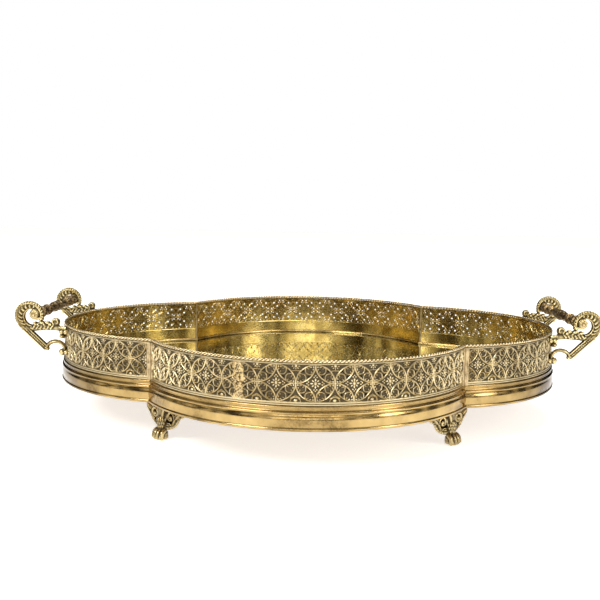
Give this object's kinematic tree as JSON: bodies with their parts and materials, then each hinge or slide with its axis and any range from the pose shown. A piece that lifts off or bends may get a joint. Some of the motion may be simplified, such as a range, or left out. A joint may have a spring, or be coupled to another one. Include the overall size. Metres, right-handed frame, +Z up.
{
  "type": "dresser vanity tray",
  "caption": "Lobed mirror tray with an openwork gallery, rope rim, moulded skirt, paw feet and cast scroll handles, for perfume bottles on a dresser.",
  "frame": {"origin": "on the floor, under the middle of the tray, at the centre of the bottom of the bounding box", "axes": "+X out through the right-hand handle, -Y the front, +Z up"},
  "size_m": [0.412, 0.3264, 0.0826],
  "materials": {
    "mirror_glass": "clear silvered mirror glass",
    "card_pad": "dark felt-faced card",
    "aged_brass": "gilt brass filigree, dark patina in the recesses",
    "polished_brass": "polished gilt brass",
    "pale_brass": "pale gilt cast brass with brown patina",
    "cast_brass": "gilt cast brass, dark in the recesses",
    "dark_brass": "browned, unpolished brass",
    "bright_brass": "bright gilt brass"
  },
  "bodies": {
    "root": {"skirt_front": "polished_brass", "skirt_back": "polished_brass", "skirt_left": "polished_brass", "skirt_right": "polished_brass", "base_plate": "dark_brass", "mirror_pad": "card_pad", "mirror_plate": "mirror_glass", "floor_bead_front": "bright_brass", "floor_bead_back": "bright_brass", "floor_bead_left": "bright_brass", "floor_bead_right": "bright_brass", "gallery_front": "aged_brass", "gallery_back": "aged_brass", "gallery_left": "aged_brass", "gallery_right": "aged_brass", "rim_rope_front": "bright_brass", "rim_rope_back": "bright_brass", "rim_rope_left": "bright_brass", "rim_rope_right": "bright_brass", "corner_strip_front_left": "bright_brass", "corner_strip_front_right": "bright_brass", "corner_strip_back_left": "bright_brass", "corner_strip_back_right": "bright_brass", "seam_patch": "bright_brass", "bracket_left_front": "pale_brass", "bracket_left_back": "pale_brass", "bracket_right_front": "pale_brass", "bracket_right_back": "pale_brass", "grip_left": "dark_brass", "grip_right": "dark_brass", "tie_rod_left": "dark_brass", "tie_rod_right": "dark_brass", "rod_nuts": "pale_brass", "bracket_screws": "bright_brass", "foot_front_left": "cast_brass", "foot_front_right": "cast_brass", "foot_back_left": "cast_brass", "foot_back_right": "cast_brass", "foot_studs": "dark_brass", "foot_washers": "dark_brass", "foot_nuts": "dark_brass"}
  },
  "joints": []
}
